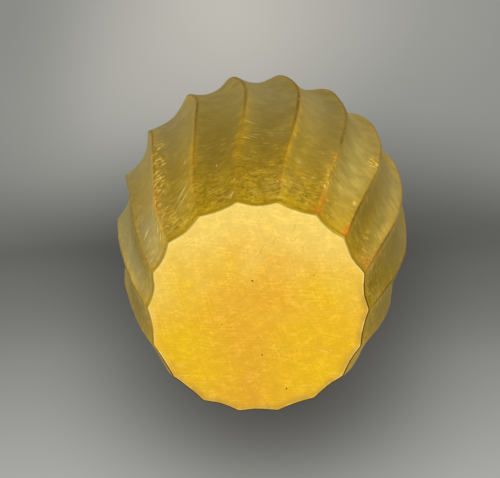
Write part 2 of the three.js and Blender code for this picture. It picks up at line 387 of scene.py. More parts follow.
def profile(shape, counts):
    """Rows of ridge line radius, height and growth (radius per height), at even steps of
    length along three curves that run smoothly into one another: foot to belly, belly to
    throat, throat to lip."""
    seam_radius = shape.foot_radius + PLATE_TOP * math.tan(shape.foot_flare)
    belly = PLATE_TOP + shape.belly_rise
    throat = belly + shape.shoulder_rise
    foot_handle = FOOT_HANDLE * shape.belly_rise
    lip_handle = LIP_HANDLE * (WALL_TOP - throat)
    curves = [
        [
            (seam_radius, PLATE_TOP),
            (seam_radius + foot_handle * math.tan(shape.foot_flare), PLATE_TOP + foot_handle),
            (shape.belly_radius, belly - BELLY_HANDLE * shape.belly_rise),
            (shape.belly_radius, belly),
        ],
        [
            (shape.belly_radius, belly),
            (shape.belly_radius, belly + SHOULDER_HANDLE * shape.shoulder_rise),
            (shape.throat_radius, throat - THROAT_HANDLE * shape.shoulder_rise),
            (shape.throat_radius, throat),
        ],
        [
            (shape.throat_radius, throat),
            (shape.throat_radius, throat + lip_handle),
            (shape.lip_radius - lip_handle * math.tan(shape.lip_flare), WALL_TOP - lip_handle),
            (shape.lip_radius, WALL_TOP),
        ],
    ]
    rows = []
    for points, count in zip(curves, counts):
        fine = np.linspace(0, 1, CURVE_SAMPLES)
        place, _ = bezier(points, fine)
        steps = np.linalg.norm(np.diff(place, axis=0), axis=1)
        along = np.concatenate([[0], np.cumsum(steps)])
        even = np.interp(np.linspace(0, along[-1], count + 1), along, fine)
        place, rate = bezier(points, even)
        rows.append(np.column_stack([place, rate[:, 0] / rate[:, 1]])[1 if rows else 0:])
    return np.concatenate(rows).T


def flute_depth(shape, height):
    """Depth of the flutes: eased from the foot's to the belly's, then to the lip's."""
    belly = PLATE_TOP + shape.belly_rise
    rise = eased(height, PLATE_TOP, belly)
    fall = eased(height, belly, belly + shape.shoulder_rise)
    depth = shape.foot_depth + (shape.belly_depth - shape.foot_depth) * rise
    return depth + (shape.lip_depth - depth) * fall


def ridge_turn(shape, height):
    """Turn of the ridge lines: the lean comes in up to the crest, then the sweep back."""
    crest = PLATE_TOP + shape.crest_rise
    throat = PLATE_TOP + shape.belly_rise + shape.shoulder_rise
    lean = eased(height, 0, crest, smoother=True)
    return shape.lean * lean - shape.sweep * eased(height, crest, throat, smoother=True)


def hand_turn(around, height):
    """Turn of each place by the maker's hand: the ridges' own strays, joined by straight
    lines across the flutes, and eased from the foot's to the belly's."""
    turns = np.zeros((2, FLUTES + 1))
    for ridge, foot, belly in STRAYS:
        turns[:, ridge] = math.radians(foot), math.radians(belly)
    foot, belly = (np.interp(around, np.arange(FLUTES + 1), row) for row in turns)
    return foot + (belly - foot) * eased(height, STRAYS_FROM, STRAYS_TO)


def hand_radius(shape, around):
    """How far the foot is out of round: cos(2a + 2.6) + 0.3 cos(a + 0.9) +
    0.5 cos(4a + 2.7), times its reach, and its own strays, joined by eased lines."""
    a = around * PITCH
    waves = np.cos(2 * a + 2.6) + 0.3 * np.cos(a + 0.9) + 0.5 * np.cos(4 * a + 2.7)
    strays = np.append(np.ravel(FOOT_STRAYS), FOOT_STRAYS[0][0]) * 0.1 * MM
    half = np.floor(2 * around).astype(int)
    stray = strays[half] + (strays[half + 1] - strays[half]) * eased(2 * around - half, 0, 1)
    return shape.out_of_round * waves + stray


def across_flutes(steps):
    """Flute numbers 0 to 18 and the place across each flute, -1 to 1, with the samples
    drawn towards the ridges: s = 0.3 t + 0.7 sin(pi t / 2)."""
    t = np.arange(steps) * 2 / steps - 1
    s = 0.3 * t + 0.7 * np.sin(np.pi * t / 2)
    place = np.tile(s, FLUTES)
    return np.repeat(np.arange(FLUTES), steps) + (place + 1) / 2, place


def wander(shape, around, height):
    """How far the hammered sheet strays, with a the angle and z the height in millimetres:
    half of sin(5a + 0.09z) + sin(11a - 0.16z + 1.3) + 0.8 sin(23a + 0.27z + 0.4) +
    0.6 sin(0.45z + 7a), times the unevenness."""
    a = around * PITCH
    z = height / MM
    waves = np.sin(5 * a + 0.09 * z) + np.sin(11 * a - 0.16 * z + 1.3)
    waves = waves + 0.8 * np.sin(23 * a + 0.27 * z + 0.4) + 0.6 * np.sin(0.45 * z + 7 * a)
    return shape.unevenness * waves / 2


def wall_surface(shape, rows, columns, thickness, softness, lift=0.0):
    """Points (row, column, xyz) of the wall, with the maker's strays. Across a flute the
    radius is R - depth (2u - u^2), where u is the distance from the nearest ridge, rounded
    as sqrt(u^2 + w^2). The inside lies the thickness away, square to the sheet: along the
    radius that is thickness sqrt(1 + flute slope^2 + growth^2)."""
    radius, height, growth = (part[:, None] for part in rows)
    around, place = columns
    foot = eased(height, shape.stray_height, 0)
    deeper = shape.depth_stray * np.cos(around * PITCH - DEEP_SIDE)
    depth = flute_depth(shape, height) + foot * deeper
    radius = radius + foot * hand_radius(shape, around)
    round_off = softness / (radius * PITCH / 2)
    u = np.sqrt((1 - np.abs(place)) ** 2 + round_off ** 2)
    outside = radius - depth * (2 * u - u * u)
    slope = 4 * depth * place / PITCH / outside
    stretch = np.sqrt(1 + slope ** 2 + growth ** 2)
    across = outside - thickness * stretch + lift
    across = across + wander(shape, around, height) * eased(height, PLATE_TOP, FULL_WANDER)
    turned = around * PITCH + ridge_turn(shape, height) + hand_turn(around, height)
    flat = np.stack([across * np.cos(turned), across * np.sin(turned)], axis=-1)
    return np.concatenate([flat, np.broadcast_to(height, across.shape)[..., None]], axis=-1)


def outside_of(shape, rows, columns, lift=0.0):
    """The outer face of the sheet, lifted along the radius."""
    return wall_surface(shape, rows, columns, 0.0, shape.ridge_round, lift)


def inside_of(shape, rows, columns):
    """The inner face of the sheet."""
    return wall_surface(shape, rows, columns, shape.sheet, shape.inner_round)


def put_mesh(name, points, around, closed=True, centres=()):
    """A mesh from a grid of points (row, column, xyz) that runs round the axis. Where it is
    closed, the last row joins the first. Each centre closes the first or the last row to a
    point. The UV map holds the flute number and the length along the section, which is
    measured on the first column."""
    steps = np.linalg.norm(np.diff(points[:, 0], axis=0), axis=1)
    along = np.concatenate([[0], np.cumsum(steps)])
    rows, columns = points.shape[:2]
    row = np.arange(rows if closed else rows - 1)
    column = np.arange(columns)
    next_row, next_column = (row + 1) % rows, (column + 1) % columns
    corner = [
        row[:, None] * columns + column,
        row[:, None] * columns + next_column,
        next_row[:, None] * columns + next_column,
        next_row[:, None] * columns + column,
    ]
    quads = np.stack(corner, axis=-1).reshape(-1, 4)
    u = np.append(around, FLUTES)
    v = np.append(along, along[-1])
    quad_u = np.stack([u[:-1], u[1:], u[1:], u[:-1]], axis=-1)
    quad_v = np.stack([v[row], v[row], v[row + 1], v[row + 1]], axis=-1)
    uv = np.stack(
        np.broadcast_arrays(quad_u[None, :, :], quad_v[:, None, :]), axis=-1
    ).reshape(-1, 2)
    faces = quads.tolist()
    vertices = points.reshape(-1, 3)
    for index, (point, last) in enumerate(centres):
        ring = column + (rows - 1) * columns if last else column
        turned = np.roll(ring, -1)
        pole = np.full(columns, rows * columns + index)
        fan = np.stack([ring, turned, pole] if last else [turned, ring, pole], axis=-1)
        faces.extend(fan.tolist())
        ends = [u[:-1], u[1:]] if last else [u[1:], u[:-1]]
        fan_u = np.stack([*ends, (u[:-1] + u[1:]) / 2], axis=-1)
        fan_v = np.full(fan_u.shape, v[-1] if last else v[0])
        uv = np.concatenate([uv, np.stack([fan_u, fan_v], axis=-1).reshape(-1, 2)])
        vertices = np.concatenate([vertices, [point]])
    mesh = bpy.data.meshes.new(name)
    mesh.from_pydata(vertices.tolist(), [], faces)
    layer = mesh.uv_layers.new(name="flutes")
    layer.data.foreach_set("uv", uv.astype(np.float32).ravel())
    mesh.polygons.foreach_set("use_smooth", np.ones(len(mesh.polygons), bool))
    mesh.set_sharp_from_angle(angle=SHARP_ANGLE)
    mesh.update()
    return mesh


def put_attribute(mesh, name, values):
    """A point attribute. Points past the last value, such as a pole, get 0."""
    filled = np.zeros(len(mesh.vertices), np.float32)
    filled[: values.size] = values.ravel()
    mesh.attributes.new(name, "FLOAT", "POINT").data.foreach_set("value", filled)


def mark_spots(mesh, spots_by_name, first, second, period=0.0):
    """Point attributes that are a spot's strength at its centre and fall off as exp(-d^2),
    where d is the distance in the spot's own reaches. A spot is (first, second, first
    reach, second reach, strength); the strongest one counts. The first coordinate goes
    round where it has a period."""
    for name, spots in spots_by_name.items():
        total = np.zeros(first.shape)
        for centre, level, wide, tall, strength in spots:
            aside = first - centre
            if period:
                aside = (aside + period / 2) % period - period / 2
            off = (aside / wide) ** 2 + ((second - level) / tall) ** 2
            total = np.maximum(total, strength * np.exp(-off))
        put_attribute(mesh, name, total)


# Nodes

class Field:
    """What a node puts out. Sums, differences and products of fields are Math nodes."""

    def __init__(self, socket):
        self.socket = socket
        self.tree = socket.id_data

    def __add__(self, other):
        return math_of("ADD", self, other)

    def __sub__(self, other):
        return math_of("SUBTRACT", self, other)

    def __mul__(self, other):
        return math_of("MULTIPLY", self, other)

    def __abs__(self):
        return math_of("ABSOLUTE", self)


def fill_in(made, values):
    """Links each input named in values to its field, or sets it to a plain value."""
    for key, value in values.items():
        if isinstance(value, Field):
            value.tree.links.new(value.socket, made.inputs[key])
        else:
            made.inputs[key].default_value = value


def node(tree, kind, values=None, **settings):
    """Adds a node, makes its settings and fills in its inputs."""
    made = tree.nodes.new(kind)
    for key, value in settings.items():
        setattr(made, key, value)
    fill_in(made, values or {})
    return made


def field(tree, kind, values=None, output=0, **settings):
    """Adds a node, and gives one of its outputs."""
    return Field(node(tree, kind, values, **settings).outputs[output])


def tree_of(values):
    """The node tree of the first field among some values."""
    return next(value.tree for value in values if isinstance(value, Field))


def math_of(operation, *values):
    """One Math node."""
    inputs = dict(enumerate(values))
    return field(tree_of(values), "ShaderNodeMath", inputs, operation=operation)


def larger(first, second):
    """The larger of two fields, place by place."""
    return math_of("MAXIMUM", first, second)


def vector_math(operation, *values, output=0):
    """One Vector Math node."""
    inputs = dict(enumerate(values))
    return field(tree_of(values), "ShaderNodeVectorMath", inputs, output, operation=operation)


def parts_of(vector):
    """The x, y and z of a vector."""
    split = node(vector.tree, "ShaderNodeSeparateXYZ", {0: vector})
    return [Field(part) for part in split.outputs]


def fade(value, low, high, to_low=0.0, to_high=1.0):
    """A smooth step of a field from low to high."""
    values = {"Value": value, "From Min": low, "From Max": high}
    values.update({"To Min": to_low, "To Max": to_high})
    return field(value.tree, "ShaderNodeMapRange", values, interpolation_type="SMOOTHSTEP")


def opaque(rgb):
    """A linear colour with its alpha."""
    return (*rgb, 1.0)


def mix(factor, first, second, blend="MIX"):
    """Mixes two colours. Each is a field, or linear red, green and blue."""
    tones = [tone if isinstance(tone, Field) else opaque(tone) for tone in (first, second)]
    values = {0: factor, 6: tones[0], 7: tones[1]}
    tree = tree_of(values.values())
    return field(tree, "ShaderNodeMix", values, 2, data_type="RGBA", blend_type=blend)


def ramp_of(value, stops):
    """A colour that runs through stops of (place, linear colour)."""
    ramp = node(value.tree, "ShaderNodeValToRGB", {0: value})
    ramp.color_ramp.interpolation = "B_SPLINE"
    for place, _ in stops[2:]:
        ramp.color_ramp.elements.new(place)
    for element, (place, tone) in zip(ramp.color_ramp.elements, stops):
        element.position = place
        element.color = opaque(tone)
    return Field(ramp.outputs[0])


def attribute_of(tree, name):
    """The value of a point attribute."""
    return field(tree, "ShaderNodeAttribute", output="Fac", attribute_name=name)


def box_of(vector, size, turn=(0.0, 0.0, 0.0), centre=(0.0, 0.0, 0.0)):
    """Coordinates from a box's centre, along its turned axes, in its own sizes."""
    values = {"Vector": vector, "Location": centre, "Rotation": turn, "Scale": size}
    return field(vector.tree, "ShaderNodeMapping", values, vector_type="TEXTURE")


def noise_of(vector, scale, detail=3.0, output=0):
    """Plain noise, as a value about 0.5. Output 1 is a colour."""
    values = {"Vector": vector, "Scale": scale, "Detail": detail}
    return field(vector.tree, "ShaderNodeTexNoise", values, output)


def stretched_noise(vector, grain, turn=(0.0, 0.0, 0.0), detail=2.0):
    """Noise whose grains have a real length, width and height, turned about an axis."""
    values = {"Vector": box_of(vector, grain, turn), "Scale": 1.0}
    values.update({"Detail": detail, "Roughness": 0.55})
    return field(vector.tree, "ShaderNodeTexNoise", values)


def flecks_of(vector, grain, low, high):
    """Short marks: where drawn-out noise passes a level."""
    return fade(stretched_noise(vector, grain), low, high)


def bump_of(height, depth):
    """A bump of a real depth in metres."""
    values = {"Height": height, "Distance": depth, "Strength": 1.0}
    return field(height.tree, "ShaderNodeBump", values)


def use_group(name, output, fill, values):
    """Places a node group with its own values, and gives what it puts out. The group is made
    when it is first used: a number gives it a plain input, anything else a vector."""
    group = bpy.data.node_groups.get(name)
    if group is None:
        group = bpy.data.node_groups.new(name, "ShaderNodeTree")
        for label, value in values.items():
            kind = "NodeSocketFloat" if isinstance(value, float) else "NodeSocketVector"
            group.interface.new_socket(label, in_out="INPUT", socket_type=kind)
        group.interface.new_socket(output, in_out="OUTPUT", socket_type="NodeSocketFloat")
        given = node(group, "NodeGroupInput").outputs
        made = fill({label: Field(given[label]) for label in values})
        node(group, "NodeGroupOutput", {output: made})
    return field(tree_of(values.values()), "ShaderNodeGroup", values, node_tree=group)


def brushing(vector, turn, grain):
    """Brush marks: noise drawn out along one direction, as a value about 0.5."""
    def fill(given):
        marks = stretched_noise(given["Vector"], given["Grain"], given["Turn"], 3.0)
        return fade(marks, 0.3, 0.7)
    return use_group("brushing", "Marks", fill, {"Vector": vector, "Turn": turn, "Grain": grain})


def scratches(vector, turn, grain, width, patches, sparse):
    """Fine scratches: the lines where drawn-out noise crosses its middle value, kept only
    where a broader noise is high, so that they start and stop."""
    def fill(given):
        drawn_out = stretched_noise(given["Vector"], given["Grain"], given["Turn"], 0.0)
        line = fade(abs(drawn_out - 0.5), 0.0, given["Width"], 1.0, 0.0)
        shifted = vector_math("ADD", given["Vector"], (0.37, 0.11, 0.23))
        broad = noise_of(shifted, given["Patches"], 2.0)
        return line * fade(broad, given["Sparse"], 0.75)
    return use_group("scratches", "Lines", fill, {
        "Vector": vector, "Turn": turn, "Grain": grain, "Width": width, "Patches": patches,
        "Sparse": sparse,
    })


def pits(vector, cells, size, rarity):
    """Tiny pits: round spots at the middles of a few random cells."""
    def fill(given):
        values = {"Vector": given["Vector"], "Scale": given["Cells"]}
        found = node(given["Vector"].tree, "ShaderNodeTexVoronoi", values).outputs
        spot = fade(Field(found["Distance"]), given["Size"], 0.0)
        tone = Field(found["Color"])
        chosen = field(tone.tree, "ShaderNodeSeparateColor", {0: tone})
        return spot * math_of("GREATER_THAN", chosen, given["Rarity"])
    return use_group("pits", "Pits", fill, {
        "Vector": vector, "Cells": cells, "Size": size, "Rarity": rarity,
    })


def marks_at(vector, marks, unit):
    """A mask of thin marks: for each, a long ellipse from end to end, 1 along its middle and
    0 at its rim. The unit is what the first coordinate counts, a flute or a millimetre."""
    ellipses = []
    for first, low, last, high, half_width in marks:
        run, rise, half = (last - first) * unit, (high - low) * MM, half_width * MM
        centre = ((first + last) / 2 * unit, (low + high) / 2 * MM, 0.0)
        size = (math.hypot(run, rise) / 2 + half, half, 1.0)
        inside = box_of(vector, size, (0.0, 0.0, math.atan2(rise, run)), centre)
        flat = vector_math("MULTIPLY", inside, (1.0, 1.0, 0.0))
        ellipses.append(fade(vector_math("LENGTH", flat, output="Value"), 1.0, 0.35))
    return functools.reduce(larger, ellipses)


# Materials: each function gives the values of one material's shader. Heights, sizes of
# grains and depths of bumps are in metres. The rest are levels of noise and shares.

def wall_finish(place, finish):
    """Brushed old gold over copper: greyer towards the belly, partly as a painted reflection; warm
    along the ridges, partly worn gilding and partly a painted highlight; with a painted shade line
    on the ridge tops, spots of painted light, shade and highlight, short light and dark marks
    round the vase, scratches, flecks and bare copper."""
    # Where on the wall: metres round and along it, height, distance from a flute's middle
    tree = place.tree
    uv = field(tree, "ShaderNodeUVMap", uv_map="flutes")
    flat = field(tree, "ShaderNodeMapping", {"Vector": uv, "Scale": (FLUTE_WIDTH, 1.0, 1.0)})
    height = parts_of(place)[2]
    to_middle = abs(math_of("FRACT", parts_of(uv)[0]) - 0.5)
    cloud = noise_of(place, 60.0)
    patch = noise_of(place, 170.0)
    grain = noise_of(place, 700.0)
    mottle = stretched_noise(flat, (0.0034, 0.0019, 1.0))
    smooth = attribute_of(tree, "smooth")
    near_foot = fade(height, 0.026, 0.003) * fade(smooth, 0.0, 1.0, 1.0, 0.25)
    coarse = fade(height, 0.050, 0.008, 0.30, 1.0) * fade(smooth, 0.0, 1.0, 1.0, 0.45)

    # Colour by height, where 1 is 100 mm above the table, greyer upwards partly as a painted
    # reflection of the grey surroundings, under clouds, worn spots and spots of painted light and
    # shade
    tone = ramp_of(height * 10.0, (
        (0.0, finish.wall_foot), (0.08, finish.wall_foot), (0.34, finish.wall_low),
        (0.60, finish.wall_high), (0.90, finish.wall_belly),
    ))
    tone = mix(fade(cloud, 0.52, 0.72, 0.0, 0.35), tone, finish.wall_light)
    tone = mix(fade(cloud, 0.48, 0.3, 0.0, 0.45), tone, finish.wall_brown)
    uneven = fade(patch, 0.3, 0.55, 0.6, 1.0)
    # Pale spots are partly painted light, grey ones partly a painted reflection, dark ones partly
    # painted shade, and gleam spots painted highlights
    for name, cloud_tone in (
        ("pale", finish.wall_light), ("grey", finish.wall_grey), ("dark", finish.wall_dark),
        ("dull", finish.wall_dull), ("rich", finish.wall_rich), ("gleam", finish.fleck),
    ):
        tone = mix(attribute_of(tree, name) * uneven, tone, cloud_tone)

    # A warm ragged band along each ridge, partly worn gilding and partly a painted highlight where
    # the ridge catches the light, and the mottle of hammering
    ragged = to_middle + (patch - 0.5) * 0.4
    warm = math_of("MULTIPLY_ADD", attribute_of(tree, "warm"), 0.7, 0.2)
    band = fade(ragged, 0.34, 0.50) * warm
    tone = mix(band, tone, finish.ridge)
    tone = mix(1.0, tone, fade(patch, 0.3, 0.7, 0.92, 1.08), "MULTIPLY")
    tone = mix(coarse, tone, fade(mottle, 0.34, 0.66, 0.86, 1.14), "MULTIPLY")
    tone = mix(coarse, tone, fade(grain, 0.36, 0.64, 0.82, 1.18), "MULTIPLY")

    # Short marks round the vase: bright streaks, hollows, drawn lines, worms and sparks
    streaks = flecks_of(flat, (0.0036, 0.0007, 1.0), 0.58, 0.68)
    streaks = streaks * fade(patch, 0.50, 0.62, 0.0, 0.8) * fade(height, 0.062, 0.040)
    tone = mix(streaks, tone, finish.fleck)
    hollows = flecks_of(flat, (0.0024, 0.0009, 1.0), 0.42, 0.32) * (near_foot * 0.45)
    tone = mix(hollows, tone, finish.patina)
    drawn = flecks_of(flat, (0.0006, 0.0070, 1.0), 0.38, 0.62)
    tone = mix(attribute_of(tree, "drawn"), tone, mix(drawn, finish.patina, tone))
    dark_worms = scratches(flat, (0.0, 0.0, 2.9), (0.0056, 0.0024, 1.0), 0.05, 240.0, 0.42)
    dark_worms = dark_worms * (near_foot * 0.8)
    tone = mix(dark_worms, tone, finish.patina)
    bright_worms = scratches(flat, (0.0, 0.0, 0.3), (0.0050, 0.0026, 1.0), 0.07, 300.0, 0.42)
    near = math_of("MULTIPLY_ADD", near_foot, 0.95, 0.08)
    near = math_of("MULTIPLY_ADD", band, 0.22, near)
    sparks = flecks_of(flat, (0.0026, 0.0011, 1.0), 0.56, 0.68) * (near_foot * 0.4)
    tone = mix(larger(bright_worms * near, sparks), tone, finish.fleck)

    # The brown line on top of the ridges, a painted shade line, and the paler lowest edge
    kept = larger(attribute_of(tree, "edge") * 0.95, fade(height, 0.05, 0.08, 0.0, 0.58))
    crest = fade(to_middle, 0.448, 0.488) * kept * fade(patch, 0.35, 0.5, 0.5, 1.0)
    tone = mix(crest, tone, finish.crest)
    tone = mix(fade(height, 0.0065, 0.0020, 0.0, 0.24), tone, finish.base_yellow)

    # Single scratches and pits, rubbed spots and bare copper
    slanted = scratches(place, (0.3, 0.9, 0.6), (0.03, 0.0016, 0.0016), 0.014, 70.0, 0.6)
    slanted = slanted * 0.4
    bright = marks_at(flat, BRIGHT_SCRATCHES, FLUTE_WIDTH)
    tone = mix(slanted, tone, finish.fleck)
    tone = mix(bright * 0.85, tone, finish.burr)
    holes = larger(pits(place, 210.0, 0.06, 0.96), marks_at(flat, WALL_PITS, FLUTE_WIDTH))
    tone = mix(holes, tone, finish.patina)
    broken = noise_of(place, 560.0)
    rubbed = attribute_of(tree, "rubbed")
    tone = mix(rubbed * fade(broken, 0.36, 0.5, 0.0, 0.8), tone, finish.ridge)
    rubbed = rubbed * fade(broken, 0.49, 0.60)
    tone = mix(rubbed, tone, finish.fleck)
    tone = mix(rubbed * fade(broken, 0.55, 0.63, 0.0, 0.8), tone, finish.burr)
    bare = attribute_of(tree, "bare") * fade(broken, 0.36, 0.5)
    tone = mix(bare, tone, mix(fade(grain, 0.48, 0.62), finish.copper, finish.ridge))

    lines = larger(slanted, bright)
    relief = patch * 0.8 + grain - dark_worms - lines * 0.8 - holes * 3.0
    return {
        "Base Color": tone, "Metallic": 1.0, "Roughness": fade(grain, 0.3, 0.7, 0.40, 0.52),
        "Normal": bump_of(relief, 0.00003), "Specular Tint": GOLD_SHEEN,
    }


def inner_finish(place, finish):
    """The copper sheet's own colour inside the vase, dulled by oxide in soft patches and
    darker towards the foot, with the faint dents of raising."""
    values = {"Vector": place, "Scale": 130.0}
    dents = field(
        place.tree, "ShaderNodeTexVoronoi", values, "Distance", feature="SMOOTH_F1"
    )
    oxide = noise_of(place, 45.0, 4.0) + fade(parts_of(place)[2], 0.06, 0.0, 0.0, 0.12)
    tone = mix(fade(oxide, 0.42, 0.62), finish.inner, finish.inner_dark)
    grain = noise_of(place, 400.0, 4.0)
    tone = mix(1.0, tone, fade(grain, 0.3, 0.7, 0.85, 1.15), "MULTIPLY")
    return {
        "Base Color": tone, "Metallic": 1.0, "Roughness": fade(oxide, 0.4, 0.65, 0.34, 0.58),
        "Normal": bump_of(dents, 0.00025),
    }


def base_finish(place, finish):
    """Satin gold rubbed mostly one way, paler at one side, with cloudy warm and yellow
    tones, a painted sheen on the brush marks, hair scratches and pits. Round the edge are painted
    light and shade and a painted highlight on the rim. The plate's cut edge is brown, with painted
    shade towards one side and a painted shadow under the bevel."""
    tree = place.tree
    x, y, z = parts_of(place)
    cloud = noise_of(place, 70.0, 4.0)
    blot = noise_of(place, 260.0, 4.0)
    fleck = noise_of(place, 620.0)
    bend = noise_of(place, 45.0, 1.0, output=1)
    bent = vector_math("MULTIPLY_ADD", bend, (0.007, 0.007, 0.0), place)
    marks = functools.reduce(Field.__add__, [
        brushing(bent, (0.0, 0.0, turn), (0.0060, width, 1.0)) * strength
        for turn, width, strength in ((0.08, 0.0006, 0.4), (-0.6, 0.0006, 0.3), (1.2, 0.0007, 0.3))
    ])
    lines = functools.reduce(larger, [
        scratches(place, (0.0, 0.0, turn), (reach, 0.003, 1.0), 0.012, 60.0, sparse)
        for turn, reach, sparse in ((0.9, 0.03, 0.52), (2.2, 0.04, 0.5), (2.9, 0.02, 0.54))
    ])
    hairs = marks_at(place, DARK_HAIRS, MM)
    light_hairs = marks_at(place, LIGHT_HAIRS, MM)
    holes = larger(pits(place, 150.0, 0.04, 0.96), marks_at(place, BASE_PITS, MM))

    # Paler at one side, with clouds and brushing, then the marks
    slope = y + (cloud - 0.5) * 0.05
    tone = mix(fade(slope, -0.042, 0.010), finish.base_light, finish.base_deep)
    soft_edge = fade(cloud, 0.3, 0.6, 0.55, 1.0)
    for name, cloud_tone in (
        ("warm", finish.base_warm), ("yellow", finish.base_yellow), ("pale", finish.base_light),
    ):
        tone = mix(attribute_of(tree, name) * soft_edge, tone, cloud_tone)
    tone = mix(1.0, tone, fade(blot, 0.3, 0.7, 0.95, 1.05), "MULTIPLY")
    brushed = fade(blot, 0.35, 0.65, 0.2, 1.0)
    tone = mix(brushed, tone, fade(marks, 0.2, 0.8, 0.89, 1.11), "MULTIPLY")
    # A painted highlight on the brush marks, in the paler gold
    sheen = fade(marks, 0.55, 0.85) * fade(cloud, 0.4, 0.6) * 0.4
    for amount, mark_tone in (
        (sheen, finish.base_light), (lines * 0.25, finish.base_warm),
        (hairs * 0.55, finish.wall_low), (light_hairs * 0.5, finish.burr), (holes, finish.patina),
    ):
        tone = mix(amount, tone, mark_tone)

    # Round the edge: a halo of painted light at one side, painted shade at the other, and a pale
    # rim, a painted highlight on the bevel that is weaker at one side
    out = attribute_of(tree, "out")
    aside = math_of("MULTIPLY_ADD", x, 0.45, y)
    dull = fade(aside, -0.002, 0.014)
    halo = fade(out, 0.93, 0.99, 0.0, 0.35) * (soft_edge - dull)
    tone = mix(larger(halo, 0.0), tone, finish.base_light)
    dull = dull * fade(out, 0.925, 0.985, 0.0, 0.9) * fade(blot, 0.36, 0.60, 1.0, 0.6)
    tone = mix(dull, tone, finish.base_rim)
    rim = fade(out, 0.9905, 0.9955) * fade(blot, 0.42, 0.60, 0.10, 0.8)
    tone = mix(rim * fade(y, 0.010, 0.030, 1.0, 0.5), tone, finish.burr)
    # The filed edge, browner in patches and, as painted shade, towards one side; the dark line of
    # the bevel under it, a painted shadow that is stronger at one side; and the seam above it
    brown = larger(fade(x, -0.022, -0.034, 0.0, 0.7), fade(blot, 0.36, 0.60, 0.36, 0.0))
    filed = mix(brown, finish.wall_foot, finish.wall_brown)
    tone = mix(fade(z, 0.00012, 0.00024), tone, filed)
    bevel = fade(z, 0.00001, 0.00006) * fade(z, 0.00034, 0.00026)
    tone = mix(bevel * fade(aside, -0.014, 0.008, 0.15, 1.0), tone, finish.crest)
    upper = fade(z, PLATE_TOP - 0.0004, PLATE_TOP - 0.0002) * fade(blot, 0.40, 0.56, 0.1, 0.7)
    tone = mix(upper, tone, finish.patina)
    relief = marks + fleck * 0.6 - lines * 0.6 - hairs * 1.5 - holes * 3.0
    return {
        "Base Color": tone, "Metallic": 1.0, "Roughness": fade(fleck, 0.3, 0.7, 0.36, 0.46),
        "Normal": bump_of(relief, 0.00001), "Specular Tint": GOLD_SHEEN,
    }


def solder_finish(place, finish):
    """Dull silver solder with specks of dried flux."""
    noise = noise_of(place, 500.0, 4.0)
    return {
        "Base Color": mix(fade(noise, 0.55, 0.7), finish.solder, finish.patina),
        "Metallic": 0.9, "Roughness": fade(noise, 0.3, 0.7, 0.4, 0.65),
        "Normal": bump_of(noise, 0.0001),
    }


OLD_GOLD = ("lacquered old gold", wall_finish)
RAISED_COPPER = ("raised copper", inner_finish)
SATIN_GOLD = ("satin gold", base_finish)
HARD_SOLDER = ("hard solder", solder_finish)


def empty_tree(owner):
    """The node tree of a material or a world, with nothing in it."""
    owner.use_nodes = True
    owner.node_tree.nodes.clear()
    return owner.node_tree


def material_of(name, values_of):
    """The material of that name, made the first time that a piece asks for it."""
    material = bpy.data.materials.get(name)
    if material is None:
        material = bpy.data.materials.new(name)
        tree = empty_tree(material)
        shader = node(tree, "ShaderNodeBsdfPrincipled")
        node(tree, "ShaderNodeOutputMaterial", {0: Field(shader.outputs[0])})
        place = field(tree, "ShaderNodeTexCoord", output="Object")
        fill_in(shader, values_of(place, bpy.context.scene.vase_finish))
    return material


# Pieces

def put_piece(name, cad_node, slot, mesh, *materials):
    """Stands the piece in for its CAD node, on the vase's one body."""
    piece = bpy.data.objects.new(name, mesh)
    bpy.context.scene.collection.objects.link(piece)
    for label, values_of in materials:
        mesh.materials.append(material_of(label, values_of))
    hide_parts(cad_node)
    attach(piece, "root")


class VASE_OT_body(bpy.types.Operator):
    """Raises the fluted wall: outside, lip edge, inside and foot edge as one closed sheet"""

    bl_idname = "vase.body"
    bl_label = "Fluted body"

    def execute(self, context):
        shape = context.scene.vase_shape
        columns = across_flutes(COLUMNS)
        rows = profile(shape, OUTSIDE_ROWS)
        chamfer = outside_of(shape, rows[:, :1], columns, -shape.seam)
        outside = outside_of(shape, rows, columns)
        outside[0, :, 2] += shape.seam
        inside = inside_of(shape, profile(shape, INSIDE_ROWS)[:, ::-1], columns)
        points = np.concatenate([chamfer, outside, inside])
        mesh = put_mesh("fluted_body", points, columns[0])
        around = np.broadcast_to(columns[0], points.shape[:2])
        mark_spots(mesh, WEAR_AND_PAINTED_LIGHT, around, points[..., 2] / MM, FLUTES)
        put_piece("raised_wall", "fluted_body", "body", mesh, OLD_GOLD, RAISED_COPPER)
        within = np.arange(len(points)) >= len(chamfer) + len(outside)
        indices = np.repeat(within, points.shape[1]).astype(np.int32)
        mesh.polygons.foreach_set("material_index", indices)
        return {"FINISHED"}


